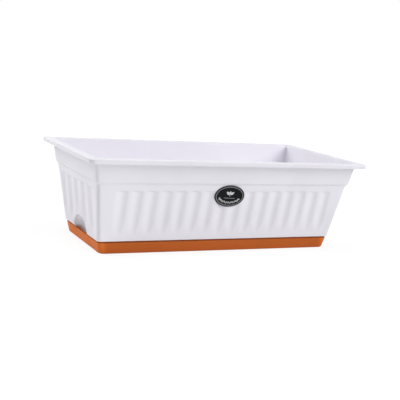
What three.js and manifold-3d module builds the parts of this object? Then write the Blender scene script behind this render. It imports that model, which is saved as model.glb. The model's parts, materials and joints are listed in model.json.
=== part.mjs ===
// Self-watering planter box: a fluted white trough that stands on an orange water tray.
// Three perforated drain plates lie on a ledge inside the trough. Each carries two wick cups,
// whose soil reaches down into the water. Water goes in through an arched port at each end.
// Millimetres, +Z up, X along the length, the labelled front at -Y, origin at bottom centre.
import * as THREE from "three";
import { mergeVertices } from "three/addons/utils/BufferGeometryUtils.js";
import Module from "manifold-3d";

// ---- Overall size and clearances ----
const LENGTH = 500; // over the rim
const WIDTH = 256; // over the rim
const HEIGHT = 155; // from the ground to the top of the rim
const SEAT_GAP = 0.3; // between a piece and what it rests on
const EMBED = 1; // how far a fin or a leg runs into what it is moulded with

// ---- Water tray ----
const TRAY_HEIGHT = 20.2;
const TRAY_LEAN = { x: 4.3, y: 1.7 }; // how far its ends and sides lean outwards
const TRAY_WALL = 2.4;
const TRAY_FLOOR = 2.4;
const TRAY_INSET = 1.2; // its rim stands this far inside the planter's foot
const TRAY_EDGE = 1; // bevel round its underside

// ---- Rim, band and wall of the planter, from the top down ----
const RIM_OVERHANG = 14; // beyond the band
const RIM_DEPTH = 7.2;
const RIM_DRAFT = 1.4; // its outer face leans in by this, down to its lower edge
const RIM_CORNER = 9.5;
const RIM_EDGE = 1; // bevel on the rim's edges
const MOUTH_EDGE = 3; // bevel where the inner wall meets the rim
const BAND_DROP = 39.9; // the plain band ends this far below the top
const BAND_PROUD = 2.7; // and stands out from the fluted wall by this
const BAND_STEP = 1; // height of the sloping step
const WALL_LEAN = { x: 19.3, y: 27.9 }; // how far the ends and sides lean outwards
const WALL_CORNER = 6; // radius of the upright corners, outside
const CORNER_STEPS = 4;

// ---- Flutes ----
const FLUTE_DEPTH = 2.2;
const FLUTE_BACKING = 0.8; // wall left behind the deepest line
const FLUTE_DROP = 11; // from the band down to their square tops
const FLUTE_LIFT = 9.5; // from the planter's foot up to their lower ends
const FLUTE_FADE = 26; // height over which the lower end runs out
const FLUTE_LAND = 0.6; // plain strip between two flutes
const FLUTE_SKEW = 0.16; // how far the deepest line lies off the middle, of the half width
const FLUTE_NARROWING = 0.45; // share of the width lost where the flute runs out
const FLUTE_COLUMNS = 6;
const FLUTE_FADE_ROWS = 3;
const SIDE_FLUTES = { count: 16, margin: 17.1 };
const END_FLUTES = { count: 5, margin: 1.2 };

// ---- Filling ports in the two ends ----
const PORT = { halfWidth: 31, rise: 24, spring: 1.5, depth: 11, wall: 2.5, skirtLift: 5 };
const PORT_FULLNESS = 2.6; // 2 would round its hollow off as an ellipsoid, more is fuller
const PORT_BACK_ANGLE = THREE.MathUtils.degToRad(69); // where the rounding ends in a flat back
const PORT_STEPS = 12;
const SCOOP_STEPS = 6;
const PORT_FLUTE_GAP = 6; // between the port's crown and the flute above it

// ---- Ledge for the drain plates, and the fins below it that centre the planter in the tray ----
const LEDGE_ABOVE_PORT = 1; // from the top of the port's hood to the top of the ledge
const LEDGE_THICKNESS = 3;
const LEDGE_WIDTH = 9;
const FIN = { thickness: 3, width: 5, lift: 5.6, gap: 1, fromPort: 19 };

// ---- Drain plates ----
const PLATE_LENGTH = 140; // as near as the planter's length allows
const PLATE_THICKNESS = 2.5;
const PLATE_GAP = 1; // to the planter's inner wall, and between two plates
const PLATE_CORNER = 4;
const SLOT = { length: 24, width: 4, pitchX: 32, pitchY: 14, margin: 5 };
const LEG = { size: 14, thickness: 3, endInset: 20, sideInset: 25 };

// ---- Wick cups ----
const CUP = { radius: 25, taper: 5, wall: 2, floor: 2, lift: 2.5 };
const CUP_LIP = { width: 4, thickness: 2 };
const CUP_HOLE_GAP = 0.6;
const CUP_APART = 6; // least room between two cups on a plate
const CUP_SEGMENTS = 24;
const CUP_SLOT = { count: 8, width: 3.2, lift: 5, drop: 13 };
const CUP_DRAIN = 4; // radius of the hole in its floor

// ---- Label ----
const LABEL = { length: 55, height: 37.5, thickness: 0.8, tilt: -2.9, gap: 0.3, segments: 40 };

// ---- Materials ----
const plastic = (colour, roughness) =>
  new THREE.MeshStandardMaterial({ color: colour, roughness, metalness: 0 });
const WHITE = plastic(0xe6e4ec, 0.45);
const ORANGE = plastic(0xc0602a, 0.5);
const BLACK = plastic(0x151617, 0.3);

// ---- Heights and half sizes that follow from the driving dimensions ----
const FOOT = TRAY_HEIGHT + SEAT_GAP;
const RIM_BOTTOM = HEIGHT - RIM_DEPTH;
const BAND_BOTTOM = HEIGHT - BAND_DROP;
const WALL = FLUTE_DEPTH + FLUTE_BACKING;
const FLUTE_TOP = BAND_BOTTOM - FLUTE_DROP;
const FLUTE_BOTTOM = FOOT + FLUTE_LIFT;
const FIN_BOTTOM = TRAY_FLOOR + FIN.lift;
const SKIRT_BOTTOM = FIN_BOTTOM + PORT.skirtLift;
const PORT_SPRING = FOOT + PORT.spring;
const PORT_TOP = FOOT + PORT.rise;
const LEDGE_TOP = PORT_TOP + PORT.wall + LEDGE_ABOVE_PORT;
const LEDGE_BOTTOM = LEDGE_TOP - LEDGE_THICKNESS;
const PLATE_BOTTOM = LEDGE_TOP + SEAT_GAP;
const PLATE_TOP = PLATE_BOTTOM + PLATE_THICKNESS;
const CUP_BOTTOM = TRAY_FLOOR + CUP.lift;
const CUP_SEAT = PLATE_TOP + SEAT_GAP;
const CUP_REACH = CUP.radius + CUP_LIP.width;

const between = (a, b, t) => a + (b - a) * t;
const grow = (half, by) => ({ x: half.x + by, y: half.y + by });
const lean = (top, by, t) => ({ x: top.x - by.x * (1 - t), y: top.y - by.y * (1 - t) });

// Half size of the fluted wall's outer face at height z; it leans outwards all the way up.
const RIM_HALF = { x: LENGTH / 2, y: WIDTH / 2 };
const WALL_HALF_TOP = grow(RIM_HALF, -RIM_OVERHANG - BAND_PROUD);
const wallHalf = (z) => lean(WALL_HALF_TOP, WALL_LEAN, (z - FOOT) / (HEIGHT - FOOT));
const innerHalf = (z) => grow(wallHalf(z), -WALL);

const TRAY_HALF_TOP = grow(wallHalf(FOOT), -TRAY_INSET);
const trayHalf = (z) => lean(TRAY_HALF_TOP, TRAY_LEAN, z / TRAY_HEIGHT);
const trayInnerHalf = (z) => grow(trayHalf(z), -TRAY_WALL);

// ---- Solids ----
const wasm = await Module();
wasm.setup();

function toSolid(geometry) {
  geometry.deleteAttribute("normal");
  geometry.deleteAttribute("uv");
  const merged = mergeVertices(geometry, 1e-4);
  return new wasm.Manifold(
    new wasm.Mesh({
      numProp: 3,
      vertProperties: new Float32Array(merged.attributes.position.array),
      triVerts: new Uint32Array(merged.index.array),
    }),
  );
}

function toMesh(name, solid, material) {
  const { vertProperties, triVerts } = solid.getMesh();
  const geometry = new THREE.BufferGeometry();
  geometry.setAttribute("position", new THREE.BufferAttribute(vertProperties, 3));
  geometry.setIndex(new THREE.BufferAttribute(triVerts, 1));
  geometry.computeVertexNormals();
  const mesh = new THREE.Mesh(geometry, material);
  mesh.name = name;
  return mesh;
}

// A closed solid through rings one above the other, each with as many points as the next.
function loft(rings) {
  const count = rings[0].length;
  const positions = rings.flat().flatMap((p) => [p.x, p.y, p.z]);
  const indices = [];
  for (let j = 0; j + 1 < rings.length; j++) {
    for (let i = 0; i < count; i++) {
      const a = j * count + i;
      const b = j * count + ((i + 1) % count);
      indices.push(a, b, b + count, a, b + count, a + count);
    }
  }
  const last = (rings.length - 1) * count;
  const outline = (ring) => ring.map((p) => new THREE.Vector2(p.x, p.y));
  for (const [a, b, c] of THREE.ShapeUtils.triangulateShape(outline(rings[0]), []))
    indices.push(a, c, b);
  for (const [a, b, c] of THREE.ShapeUtils.triangulateShape(outline(rings.at(-1)), []))
    indices.push(last + a, last + b, last + c);
  const geometry = new THREE.BufferGeometry();
  geometry.setAttribute("position", new THREE.Float32BufferAttribute(positions, 3));
  geometry.setIndex(indices);
  return toSolid(geometry);
}

// A level of a rounded-rectangle loft, counter-clockwise from the +X side.
function roundedRing({ z, half, corner }) {
  const ring = [];
  const radius = Math.max(corner, 0.5);
  for (const [sx, sy, start] of [[1, 1, 0], [-1, 1, 1], [-1, -1, 2], [1, -1, 3]]) {
    for (let i = 0; i <= CORNER_STEPS; i++) {
      const angle = ((start + i / CORNER_STEPS) * Math.PI) / 2;
      const x = sx * (half.x - radius) + radius * Math.cos(angle);
      const y = sy * (half.y - radius) + radius * Math.sin(angle);
      ring.push(new THREE.Vector3(x, y, z));
    }
  }
  return ring;
}
const tub = (levels) => loft(levels.map(roundedRing));

function box(x, y, z, centre) {
  return toSolid(new THREE.BoxGeometry(x, y, z).translate(...centre));
}

// A flat outline drawn in (across, up), extruded along X or along Y.
function slab(points, from, to, along) {
  const shape = new THREE.Shape(points.map(([across, up]) => new THREE.Vector2(across, up)));
  const options = { depth: to - from, bevelEnabled: false };
  const geometry = new THREE.ExtrudeGeometry(shape, options).translate(0, 0, from);
  const x = new THREE.Vector3(1, 0, 0);
  const y = new THREE.Vector3(0, 1, 0);
  const z = new THREE.Vector3(0, 0, 1);
  const turn = new THREE.Matrix4();
  if (along === "x") turn.makeBasis(y, z, x);
  else turn.makeBasis(x.negate(), z, y);
  return toSolid(geometry.applyMatrix4(turn));
}

const joined = (solids) => solids.reduce((all, solid) => all.add(solid));
const spread = (count, pitch) =>
  Array.from({ length: count }, (_, i) => (i - (count - 1) / 2) * pitch);

// Turned half round about Z: the far side and the far end repeat the near ones.
const HALF_TURN = [0, 0, 180];
const bothWays = (solids) => [...solids, ...solids.map((solid) => solid.rotate(HALF_TURN))];

// ---- Places of the drain plates, and of the cups and legs on each ----
const PLATES_HALF = grow(innerHalf(PLATE_BOTTOM), -PLATE_GAP);
const plateCount = Math.max(1, Math.round((2 * PLATES_HALF.x) / PLATE_LENGTH));
const platePitch = (2 * PLATES_HALF.x) / plateCount;
const plateSpots = spread(plateCount, platePitch);
const PLATE_HALF = { x: (platePitch - PLATE_GAP) / 2, y: PLATES_HALF.y };

// The cups share out the opening inside the ledge, as many as fit across it.
const openWidth = 2 * (innerHalf(LEDGE_TOP).y - LEDGE_WIDTH);
const cupCount = Math.max(1, Math.floor(openWidth / (2 * CUP_REACH + CUP_APART)));
const cupSpots = spread(cupCount, openWidth / cupCount).map((y) => [0, y]);
const legSpots = spread(2, 2 * (PLATE_HALF.x - LEG.endInset)).flatMap((x) =>
  spread(2, 2 * (PLATE_HALF.y - LEG.sideInset)).map((y) => [x, y]),
);

// ---- Water tray ----
function waterTray() {
  const shell = tub([
    { z: 0, half: grow(trayHalf(0), -TRAY_EDGE), corner: WALL_CORNER - TRAY_EDGE },
    { z: TRAY_EDGE, half: trayHalf(TRAY_EDGE), corner: WALL_CORNER },
    { z: TRAY_HEIGHT, half: trayHalf(TRAY_HEIGHT), corner: WALL_CORNER },
  ]);
  const corner = WALL_CORNER - TRAY_WALL;
  const hollow = tub([
    { z: TRAY_FLOOR, half: trayInnerHalf(TRAY_FLOOR), corner },
    { z: TRAY_HEIGHT + EMBED, half: trayInnerHalf(TRAY_HEIGHT + EMBED), corner },
  ]);
  return shell.subtract(hollow);
}

// ---- Planter ----
function planterOutside() {
  const below = BAND_BOTTOM - BAND_STEP / 2;
  const above = BAND_BOTTOM + BAND_STEP / 2;
  const band = (z) => grow(wallHalf(z), BAND_PROUD);
  const rimLevel = (z, inset) => ({ z, half: grow(RIM_HALF, -inset), corner: RIM_CORNER - inset });
  return tub([
    { z: FOOT, half: wallHalf(FOOT), corner: WALL_CORNER },
    { z: below, half: wallHalf(below), corner: WALL_CORNER },
    { z: above, half: band(above), corner: WALL_CORNER },
    { z: RIM_BOTTOM, half: band(RIM_BOTTOM), corner: WALL_CORNER },
    rimLevel(RIM_BOTTOM, RIM_DRAFT + RIM_EDGE),
    rimLevel(RIM_BOTTOM + RIM_EDGE, RIM_DRAFT),
    rimLevel(HEIGHT - RIM_EDGE, 0),
    rimLevel(HEIGHT, RIM_EDGE),
  ]);
}

// The space inside the wall, with the ledge left standing and both ends run past the shell.
function planterHollow() {
  const corner = WALL_CORNER - WALL;
  const plain = (z) => ({ z, half: innerHalf(z), corner });
  const ledge = (z) => ({ z, half: grow(innerHalf(z), -LEDGE_WIDTH), corner });
  const band = (z, out) => ({ z, half: grow(innerHalf(z), BAND_PROUD + out), corner });
  const step = BAND_BOTTOM + WALL;
  return tub([
    plain(FOOT - EMBED),
    plain(LEDGE_BOTTOM),
    ledge(LEDGE_BOTTOM),
    ledge(LEDGE_TOP),
    plain(LEDGE_TOP),
    plain(step),
    band(step + BAND_STEP, 0),
    band(HEIGHT - MOUTH_EDGE, 0),
    band(HEIGHT, MOUTH_EDGE),
    band(HEIGHT + EMBED, MOUTH_EDGE),
  ]);
}

// The cutter of one flute in the front wall: a scoop with a square top and a lower end that
// narrows and runs out. Its deepest line lies a little to the right of its middle.
function fluteCutter(centre, pitch, bottom, faceAt) {
  const clear = 0.1; // the cutter's edges lie this far off the face
  const outside = 3;
  const fadeTop = bottom + FLUTE_FADE;
  const fades = Array.from({ length: FLUTE_FADE_ROWS + 1 }, (_, i) => i / FLUTE_FADE_ROWS);
  const rows = [...fades.map((t) => [between(bottom, fadeTop, t), t]), [FLUTE_TOP, 1]];
  const rings = rows.map(([z, t]) => {
    const strength = Math.sin((t * Math.PI) / 2);
    const half = ((pitch - FLUTE_LAND) / 2) * (1 - FLUTE_NARROWING * (1 - strength));
    const ring = [];
    for (let i = 0; i <= FLUTE_COLUMNS; i++) {
      const s = (2 * i) / FLUTE_COLUMNS - 1;
      const across = half * (s + FLUTE_SKEW * (1 - s * s));
      const depth = (strength * FLUTE_DEPTH * (1 + Math.cos(Math.PI * s))) / 2 - clear;
      ring.push(new THREE.Vector3(centre + across, depth - faceAt(z), z));
    }
    ring.push(new THREE.Vector3(centre + half, -faceAt(z) - outside, z));
    ring.push(new THREE.Vector3(centre - half, -faceAt(z) - outside, z));
    return ring.reverse();
  });
  return loft(rings);
}

function fluteRow({ count, margin }, alongHalf, faceAt, bottomAt) {
  const pitch = (2 * (alongHalf(FLUTE_BOTTOM) - margin)) / count;
  return spread(count, pitch).map((centre) =>
    fluteCutter(centre, pitch, bottomAt(centre), faceAt),
  );
}

function fluteCutters() {
  const sides = fluteRow(
    SIDE_FLUTES,
    (z) => wallHalf(z).x,
    (z) => wallHalf(z).y,
    () => FLUTE_BOTTOM,
  );
  const ends = fluteRow(
    END_FLUTES,
    (z) => wallHalf(z).y,
    (z) => wallHalf(z).x,
    (centre) => (Math.abs(centre) < PORT.halfWidth / 2 ? PORT_TOP + PORT_FLUTE_GAP : FLUTE_BOTTOM),
  );
  // Mirrored and turned a quarter round, a row for the front fits the left end.
  const left = ends.map((cutter) => cutter.mirror([1, 0, 0]).rotate([0, 0, -90]));
  return bothWays([...sides, ...left]);
}

// The left port's hollow, grown all round and open downwards. It starts outside the leaning
// wall and rounds off to a small flat back.
function portScoop(by, bottom) {
  const outside = 3;
  const arch = (share, depth) => {
    const half = PORT.halfWidth * share + by;
    const height = (PORT_TOP - PORT_SPRING) * share + by;
    const ring = [[-half, bottom]];
    for (let i = 0; i <= PORT_STEPS; i++) {
      const angle = Math.PI * (1 - i / PORT_STEPS);
      ring.push([half * Math.cos(angle), PORT_SPRING + height * Math.sin(angle)]);
    }
    ring.push([half, bottom]);
    return ring.reverse().map(([x, y]) => new THREE.Vector3(x, y, depth - wallHalf(y).x));
  };
  const rings = [arch(1, -outside)];
  for (let i = 0; i <= SCOOP_STEPS; i++) {
    const angle = (PORT_BACK_ANGLE * i) / SCOOP_STEPS;
    const share = Math.cos(angle) ** (2 / PORT_FULLNESS);
    const depth = PORT.depth * Math.sin(angle) ** (2 / PORT_FULLNESS);
    rings.push(arch(share, depth + by * Math.sin(angle)));
  }
  // Drawn in (across, up, inwards), turned to (inwards, across, up).
  return loft(rings).transform([0, 1, 0, 0, 0, 0, 1, 0, 1, 0, 0, 0, 0, 0, 0, 1]);
}

// The hood that keeps soil out of the port, over the tray's wall and down inside it.
function portHood(outside) {
  const above = portScoop(PORT.wall, FOOT).intersect(outside);
  const inTray = FIN.gap - trayInnerHalf(SKIRT_BOTTOM).x;
  const back = PORT.depth + PORT.wall - wallHalf(FOOT).x;
  const across = 2 * (PORT.halfWidth + PORT.wall);
  const height = FOOT + EMBED - SKIRT_BOTTOM;
  const room = box(back - inTray, across, height, [(inTray + back) / 2, 0, SKIRT_BOTTOM + height / 2]);
  return above.add(portScoop(PORT.wall, SKIRT_BOTTOM).intersect(room));
}

// A fin's outline: across is measured from the planter's middle towards the wall.
function finOutline(trayInner, inner) {
  const lower = trayInner(FIN_BOTTOM) - FIN.gap;
  return [
    [lower - FIN.width, FIN_BOTTOM],
    [lower, FIN_BOTTOM],
    [trayInner(TRAY_HEIGHT) - FIN.gap, FOOT],
    [inner(FOOT) + EMBED, FOOT],
    [inner(LEDGE_BOTTOM) + EMBED, LEDGE_BOTTOM + EMBED],
    [inner(LEDGE_BOTTOM) - LEDGE_WIDTH, LEDGE_BOTTOM + EMBED],
  ];
}

function fins() {
  const side = finOutline((z) => trayInnerHalf(z).y, (z) => innerHalf(z).y);
  const end = finOutline((z) => trayInnerHalf(z).x, (z) => innerHalf(z).x);
  const half = FIN.thickness / 2;
  const alongSide = spread(2, wallHalf(FOOT).x).map((x) => slab(side, x - half, x + half, "x"));
  const beside = spread(2, 2 * (PORT.halfWidth + FIN.fromPort));
  const alongEnd = beside.map((y) => slab(end, y - half, y + half, "y"));
  return bothWays([...alongSide, ...alongEnd]);
}

function planterBox() {
  const outside = planterOutside();
  const shell = outside.subtract(planterHollow());
  const whole = joined([shell, ...bothWays([portHood(outside)]), ...fins()]);
  return whole.subtract(joined([...fluteCutters(), ...bothWays([portScoop(0, SKIRT_BOTTOM - EMBED)])]));
}

// ---- Drain plate, with its middle at the origin ----
// Distance from a point to a slot that lies along X with its middle at (x, y).
function slotDistance(x, y, [px, py]) {
  const reach = (SLOT.length - SLOT.width) / 2;
  const nearest = Math.min(Math.max(px, x - reach), x + reach);
  return Math.hypot(px - nearest, py - y) - SLOT.width / 2;
}

function slotSpots() {
  const fill = (half, pitch) => spread(Math.floor((2 * (half - SLOT.margin)) / pitch), pitch);
  const spots = [];
  for (const y of fill(PLATE_HALF.y, SLOT.pitchY)) {
    for (const x of fill(PLATE_HALF.x, SLOT.pitchX)) {
      const offCups = cupSpots.every((spot) => slotDistance(x, y, spot) > CUP_REACH);
      const offLegs = legSpots.every((spot) => slotDistance(x, y, spot) > LEG.size / 2);
      if (offCups && offLegs) spots.push([x, y]);
    }
  }
  return spots;
}

function crossLeg([x, y]) {
  const bottom = TRAY_FLOOR + SEAT_GAP;
  const height = PLATE_BOTTOM + EMBED - bottom;
  const centre = [x, y, bottom + height / 2];
  const along = box(LEG.size, LEG.thickness, height, centre);
  return along.add(box(LEG.thickness, LEG.size, height, centre));
}

function drainPlate() {
  const level = (z) => ({ z, half: PLATE_HALF, corner: PLATE_CORNER });
  const sheet = tub([level(PLATE_BOTTOM), level(PLATE_TOP)]);
  const middle = (PLATE_BOTTOM + PLATE_TOP) / 2;
  const through = PLATE_THICKNESS + 2 * EMBED;
  const slots = slotSpots().map(([x, y]) => box(SLOT.length, SLOT.width, through, [x, y, middle]));
  const holes = cupSpots.map(([x, y]) => {
    const radius = CUP.radius + CUP_HOLE_GAP;
    const hole = new THREE.CylinderGeometry(radius, radius, through, CUP_SEGMENTS);
    return toSolid(hole.rotateX(Math.PI / 2).translate(x, y, middle));
  });
  const perforated = sheet.subtract(joined([...slots, ...holes]));
  return joined([perforated, ...legSpots.map(crossLeg)]);
}

// ---- Wick cup, on the Z axis ----
function wickCup() {
  const lipTop = CUP_SEAT + CUP_LIP.thickness;
  const foot = CUP.radius - CUP.taper;
  const profile = [
    [0, CUP_BOTTOM],
    [foot, CUP_BOTTOM],
    [CUP.radius, CUP_SEAT],
    [CUP_REACH, CUP_SEAT],
    [CUP_REACH, lipTop],
    [CUP.radius - CUP.wall, lipTop],
    [foot - CUP.wall, CUP_BOTTOM + CUP.floor],
    [0, CUP_BOTTOM + CUP.floor],
  ].map(([radius, height]) => new THREE.Vector2(radius, height));
  const body = toSolid(new THREE.LatheGeometry(profile, CUP_SEGMENTS).rotateX(Math.PI / 2));
  const low = CUP_BOTTOM + CUP_SLOT.lift;
  const high = CUP_SEAT - CUP_SLOT.drop;
  const bar = box(2 * CUP_REACH, CUP_SLOT.width, high - low, [0, 0, (low + high) / 2]);
  const step = 360 / CUP_SLOT.count;
  // Each bar cuts two slots, one on either side of the cup.
  const slots = Array.from({ length: CUP_SLOT.count / 2 }, (_, i) => bar.rotate([0, 0, step * (i + 0.5)]));
  const drain = new THREE.CylinderGeometry(CUP_DRAIN, CUP_DRAIN, 4 * CUP.floor, CUP_SEGMENTS / 2);
  const hole = toSolid(drain.rotateX(Math.PI / 2).translate(0, 0, CUP_BOTTOM));
  return body.subtract(joined([...slots, hole]));
}

// ---- Label: an oval plate on the front wall, just below the band ----
function label() {
  const slope = Math.atan2(wallHalf(HEIGHT).y - wallHalf(FOOT).y, HEIGHT - FOOT);
  const top = BAND_BOTTOM - BAND_STEP / 2 - LABEL.gap;
  const middle = top - (LABEL.height / 2) * Math.cos(slope);
  const oval = new THREE.Shape();
  oval.absellipse(0, 0, LABEL.length / 2, LABEL.height / 2, 0, 2 * Math.PI);
  const options = { depth: LABEL.thickness, bevelEnabled: false, curveSegments: LABEL.segments };
  const plate = new THREE.ExtrudeGeometry(oval, options);
  plate.rotateZ(THREE.MathUtils.degToRad(LABEL.tilt));
  plate.translate(0, 0, SEAT_GAP);
  plate.rotateX(Math.PI / 2 + slope);
  plate.translate(0, -wallHalf(middle).y, middle);
  return toSolid(plate);
}

// ---- The planter ----
const planter = new THREE.Group();
planter.add(toMesh("water_tray", waterTray(), ORANGE));
planter.add(toMesh("planter_box", planterBox(), WHITE));
planter.add(toMesh("label", label(), BLACK));

const plate = drainPlate();
const cup = wickCup();
plateSpots.forEach((x, i) => {
  const module = new THREE.Group();
  module.position.x = x;
  module.add(toMesh(`drain_plate_${i + 1}`, plate, WHITE));
  cupSpots.forEach(([cupX, cupY], j) => {
    const mesh = toMesh(`wick_cup_${i * cupCount + j + 1}`, cup, ORANGE);
    mesh.position.set(cupX, cupY, 0);
    module.add(mesh);
  });
  planter.add(module);
});

export default planter;
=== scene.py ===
"""Looks of the self watering planter: fine moulded meshes, plastics, studio and camera.

Sizes are in millimetres until a mesh is made. The overall sizes come from the frame.
"""
import json
import math

import bmesh
import bpy
import numpy as np
from mathutils import Matrix, Vector

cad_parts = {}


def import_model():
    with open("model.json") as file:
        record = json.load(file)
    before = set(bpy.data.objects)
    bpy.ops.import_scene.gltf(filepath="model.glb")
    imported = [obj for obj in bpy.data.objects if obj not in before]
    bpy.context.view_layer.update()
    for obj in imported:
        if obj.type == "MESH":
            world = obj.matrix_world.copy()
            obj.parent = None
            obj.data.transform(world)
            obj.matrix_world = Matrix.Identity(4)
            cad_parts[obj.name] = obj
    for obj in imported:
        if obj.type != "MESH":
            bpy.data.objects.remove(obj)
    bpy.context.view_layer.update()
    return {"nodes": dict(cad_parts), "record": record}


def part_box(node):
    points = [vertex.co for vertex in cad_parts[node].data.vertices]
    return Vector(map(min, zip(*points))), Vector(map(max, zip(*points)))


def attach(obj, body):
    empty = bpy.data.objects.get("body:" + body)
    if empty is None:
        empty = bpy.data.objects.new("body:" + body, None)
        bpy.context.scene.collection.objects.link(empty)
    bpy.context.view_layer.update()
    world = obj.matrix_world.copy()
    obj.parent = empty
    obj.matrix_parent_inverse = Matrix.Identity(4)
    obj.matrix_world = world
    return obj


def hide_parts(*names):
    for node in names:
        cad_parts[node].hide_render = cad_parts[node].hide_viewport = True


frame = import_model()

MM = 0.001


def node_box(name):
    """Lowest and highest corner of a CAD node, in millimetres."""
    low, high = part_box(name)
    return np.array(low) / MM, np.array(high) / MM


# ---- Heights and half sizes, worked out from the frame ----
SEAT_GAP = 0.3
TRAY_HIGH = node_box("water_tray")[1]
BOX_LOW, BOX_HIGH = node_box("planter_box")
PLATES = sorted(n for n in frame["nodes"] if n.startswith("drain_plate"))
CUPS = sorted(n for n in frame["nodes"] if n.startswith("wick_cup"))
PLATE_TOP = node_box(PLATES[0])[1][2]

TRAY_LEAN = np.array([4.3, 1.7])  # how far its ends and sides lean outwards
TRAY_WALL = 2.4
TRAY_FLOOR = 2.4
TRAY_GROOVE = (2.4, 1.0)  # height and depth of the shadow line below the planter's foot
TRAY_FOOT_CORNER = 9.0  # radius of its upright corners at the ground
TRAY_CAP_CORNER = 2.0  # the rings that lead up to the caps of its underside and floor
TRAY_CAP_INSETS = (8.0, 12.0)
# Half length of the stretch with evenly spread columns, the columns in it and beyond it.
TRAY_LONG_COLUMNS = (150.0, 20, 3)
TRAY_SHORT_COLUMNS = (50.0, 8, 2)

FOOT = TRAY_HIGH[2] + SEAT_GAP
HEIGHT = BOX_HIGH[2]
RIM_HALF = BOX_HIGH[:2]
RIM_OVERHANG = 14.0
RIM_DEPTH = 7.2
RIM_DRAFT = 1.4  # the rim's outer face leans in by this, down to its lower edge
RIM_CORNER = 9.5
BAND_DROP = 39.9
BAND_PROUD = 2.7
BAND_STEP = 1.0
STEP_SOFTENING = (0.3, 1.3)  # how much further down and up the moulded step runs out
MOUTH_EDGE = 3.0
WALL = 3.0
WALL_LEAN = np.array([19.3, 27.9])
WALL_CORNER = 6.0
INNER_CORNER = 3.5

PLATE_THICKNESS = 2.5
LEDGE_TOP = PLATE_TOP - PLATE_THICKNESS - SEAT_GAP
LEDGE_THICKNESS = 3.0
LEDGE_WIDTH = 9.0

RIM_BOTTOM = HEIGHT - RIM_DEPTH
BAND_BOTTOM = HEIGHT - BAND_DROP

# ---- Flutes ----
FLUTE_DEPTH = 2.2
FLUTE_TOP = BAND_BOTTOM - 11.0
FLUTE_BOTTOM = FOOT + 9.5
FLUTE_FADE = 26.0  # height over which a flute's lower end runs out
FLUTE_LAND = 0.6
FLUTE_SKEW = 0.16
FLUTE_NARROWING = 0.45
FLUTE_SHOULDER = 2.2  # height over which its square top rises to the wall
SIDE_FLUTES = {"count": 16, "margin": 17.1}
END_FLUTES = {"count": 5, "margin": 1.2}
COLUMNS_PER_FLUTE = 14
SIDE_MARGIN_COLUMNS = 6  # between the last flute and a corner
END_COLUMNS, END_MARGIN_COLUMNS = 72, 14

# ---- Filling ports ----
PORT_HALF_WIDTH = 31.0
PORT_TOP = FOOT + 24.0
PORT_SPRING = FOOT + 1.5
PORT_DEPTH = 11.0
PORT_WALL = 2.5
PORT_LIP = 0.8  # radius of the port's outer edge
PORT_START = 3.0  # how far in front of the wall the cutter starts
PORT_FULLNESS = 2.6  # 2 would make it an ellipsoid, more a fuller shape
PORT_BACK_ANGLE = math.radians(69)  # where its rounding ends in a flat back
PORT_STEPS = 32
SCOOP_STEPS = 10
FIN_BOTTOM = BOX_LOW[2]
SKIRT_BOTTOM = FIN_BOTTOM + 5.0
SKIRT_LAP = 0.6  # how far the skirt runs up into the hood
PORT_FLUTE_GAP = 6.0
INSIDE_MARGIN = 0.4  # how far a face may lie off the inner wall, or below the rim

CORNER_STEPS = 8  # columns round an upright corner
ROUND_STEPS = 4  # rows round an edge
SHARP_ANGLE = math.radians(32)
SAME_PLACE = 1e-6
OVERLAP = 1.0  # how far solids that are joined run into each other, and cutters run on


# ---- Mesh helpers ----
def make_object(name, points, faces, materials=()):
    """A mesh object from points in millimetres; the object itself sits at the origin."""
    mesh = bpy.data.meshes.new(name)
    mesh.from_pydata([tuple(p) for p in np.asarray(points) * MM], [], faces)
    mesh.update()
    obj = bpy.data.objects.new(name, mesh)
    bpy.context.scene.collection.objects.link(obj)
    for material in materials:
        mesh.materials.append(material)
    return obj


def finish_surface(obj, *materials):
    """Gives a piece its materials, and smooth shading that keeps the true edges sharp."""
    mesh = obj.data
    mesh.materials.clear()
    for material in materials:
        mesh.materials.append(material)
    mesh.shade_smooth()
    mesh.set_sharp_from_angle(angle=SHARP_ANGLE)


def cleaned(obj, distance=1e-3):
    """Welds points closer than a distance in millimetres, and turns all faces outwards."""
    work = bmesh.new()
    work.from_mesh(obj.data)
    bmesh.ops.remove_doubles(work, verts=work.verts, dist=distance * MM)
    bmesh.ops.recalc_face_normals(work, faces=work.faces)
    work.to_mesh(obj.data)
    work.free()
    return obj


def largest_piece(obj):
    """Leaves only the largest connected piece: a boolean can leave slivers beside it."""
    work = bmesh.new()
    work.from_mesh(obj.data)
    pieces, seen = [], set()
    for vert in work.verts:
        if vert in seen:
            continue
        seen.add(vert)
        piece, stack = [], [vert]
        while stack:
            here = stack.pop()
            piece.append(here)
            found = {edge.other_vert(here) for edge in here.link_edges} - seen
            seen |= found
            stack += found
        pieces.append(piece)
    for piece in sorted(pieces, key=len)[:-1]:
        bmesh.ops.delete(work, geom=piece, context="VERTS")
    work.to_mesh(obj.data)
    work.free()
    return obj


def combine(obj, other, operation):
    """A boolean of two closed meshes; the second one is used up."""
    modifier = obj.modifiers.new("cut", "BOOLEAN")
    modifier.operation = operation
    modifier.solver = "MANIFOLD"
    modifier.object = other
    graph = bpy.context.evaluated_depsgraph_get()
    mesh = bpy.data.meshes.new_from_object(obj.evaluated_get(graph))
    obj.modifiers.clear()
    old = obj.data
    obj.data = mesh
    mesh.name = old.name
    bpy.data.meshes.remove(old)
    bpy.data.objects.remove(other)
    return obj


def ring_faces(count, size, closed):
    """Faces between rings of equally many points: closed like a tyre, or capped at both ends."""
    faces = []
    for j in range(count if closed else count - 1):
        up = (j + 1) % count
        for i in range(size):
            k = (i + 1) % size
            faces.append((j * size + i, j * size + k, up * size + k, up * size + i))
    if not closed:
        faces.append(tuple(range(size - 1, -1, -1)))
        faces.append(tuple(range((count - 1) * size, count * size)))
    return faces


def ring_object(name, rings, closed=False):
    rings = np.asarray(rings, float)
    return make_object(name, rings.reshape(-1, 3), ring_faces(*rings.shape[:2], closed))


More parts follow.
